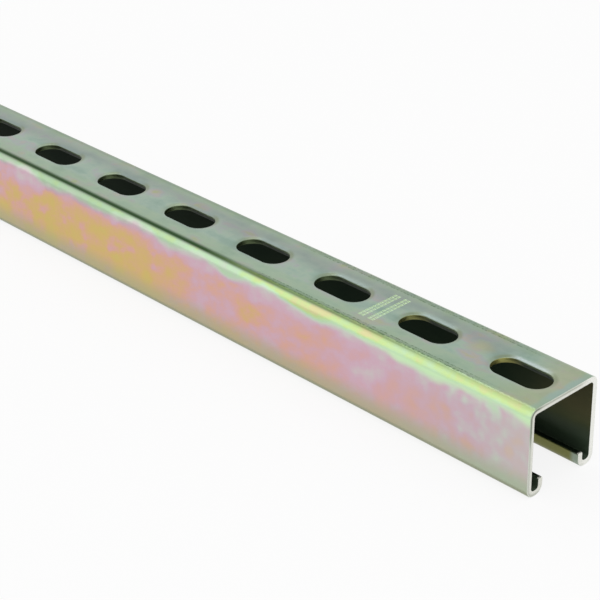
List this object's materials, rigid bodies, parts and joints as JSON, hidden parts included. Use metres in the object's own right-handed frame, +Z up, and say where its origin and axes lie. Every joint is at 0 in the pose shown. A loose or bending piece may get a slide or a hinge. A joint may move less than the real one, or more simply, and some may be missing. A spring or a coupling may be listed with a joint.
{
  "type": "slotted strut channel",
  "caption": "Square C-shaped steel framing channel with two turned-in curled lips along its open side and a row of long obround slots through its web.",
  "frame": {"origin": "on the floor that the lips lie on, in the middle of the length and the width", "axes": "+X along the channel towards the end with the shorter land, +Y across it, +Z up through the slotted web"},
  "size_m": [0.6096, 0.0412, 0.0413],
  "materials": {
    "yellow_zinc_steel": "yellow zinc dichromate plating, iridescent"
  },
  "bodies": {
    "root": {"channel": "yellow_zinc_steel"}
  },
  "joints": []
}
